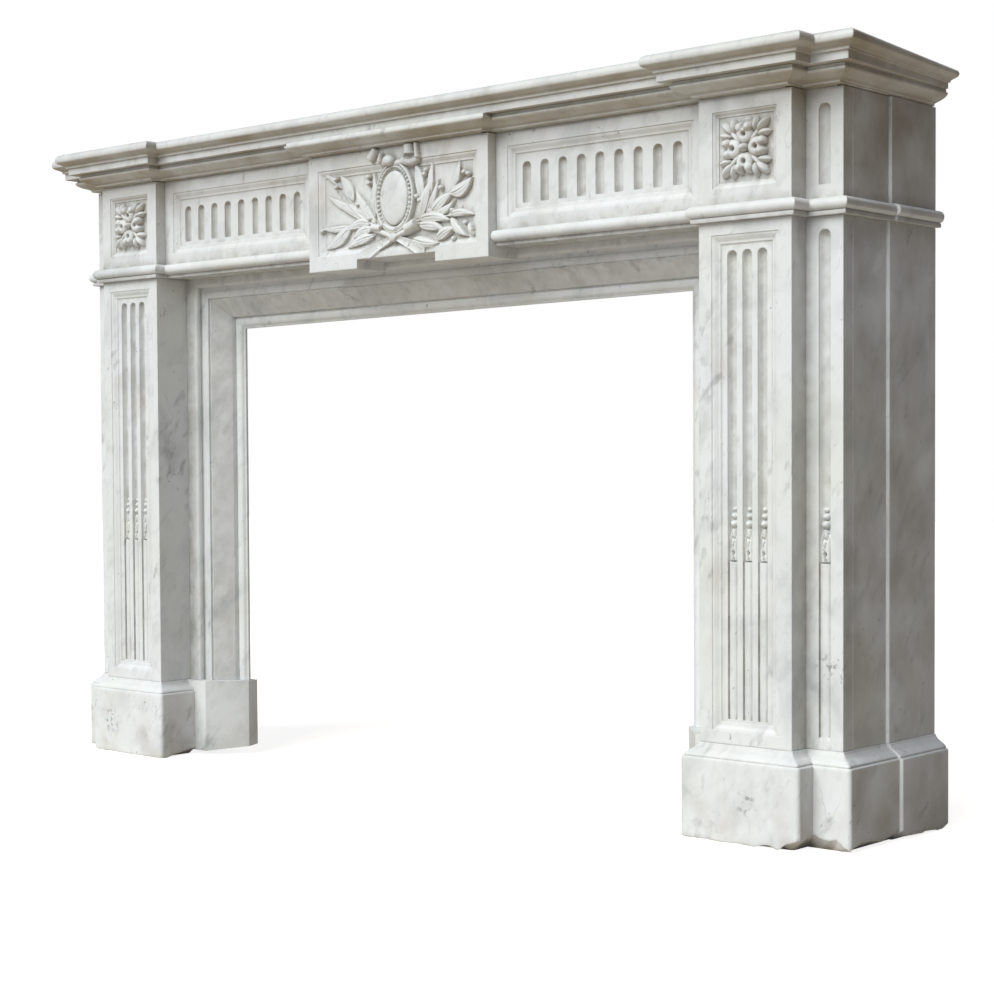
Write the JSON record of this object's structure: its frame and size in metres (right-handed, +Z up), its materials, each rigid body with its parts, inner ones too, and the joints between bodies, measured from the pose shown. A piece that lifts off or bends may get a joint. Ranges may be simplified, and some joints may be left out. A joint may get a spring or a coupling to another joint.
{
  "type": "fireplace mantel",
  "caption": "Carved white marble fireplace mantel with fluted pilasters on stepped plinths, rosette corner blocks, laurel centre medallion, breakfront moulded shelf and splayed slips.",
  "frame": {"origin": "on the floor, below the middle of the whole outline", "axes": "+Z up, -Y the carved front, +Y the wall behind, +X to the right of someone who faces the mantel"},
  "size_m": [1.7624, 0.3506, 1.12],
  "materials": {
    "carved_marble": "honed white marble with faint grey veins, worn to a dull sheen",
    "plinth_marble": "honed white marble, dirty and chipped at the floor"
  },
  "bodies": {
    "root": {"shelf": "carved_marble", "bed_mould_centre": "carved_marble", "bed_mould_left": "carved_marble", "bed_mould_right": "carved_marble", "bed_mould_rear_left": "carved_marble", "bed_mould_rear_right": "carved_marble", "frieze_centre": "carved_marble", "frieze_panel_left": "carved_marble", "frieze_panel_right": "carved_marble", "frieze_corner_left": "carved_marble", "frieze_corner_right": "carved_marble", "frieze_rear_left": "carved_marble", "frieze_rear_right": "carved_marble", "jamb_left": "carved_marble", "jamb_right": "carved_marble", "jamb_rear_left": "carved_marble", "jamb_rear_right": "carved_marble", "plinth_left": "plinth_marble", "plinth_right": "plinth_marble", "plinth_rear_left": "plinth_marble", "plinth_rear_right": "plinth_marble", "slip_header_left": "carved_marble", "slip_header_centre": "carved_marble", "slip_header_right": "carved_marble", "slip_jamb_left": "carved_marble", "slip_jamb_right": "carved_marble", "slip_plinth_left": "plinth_marble", "slip_plinth_right": "plinth_marble"}
  },
  "joints": []
}
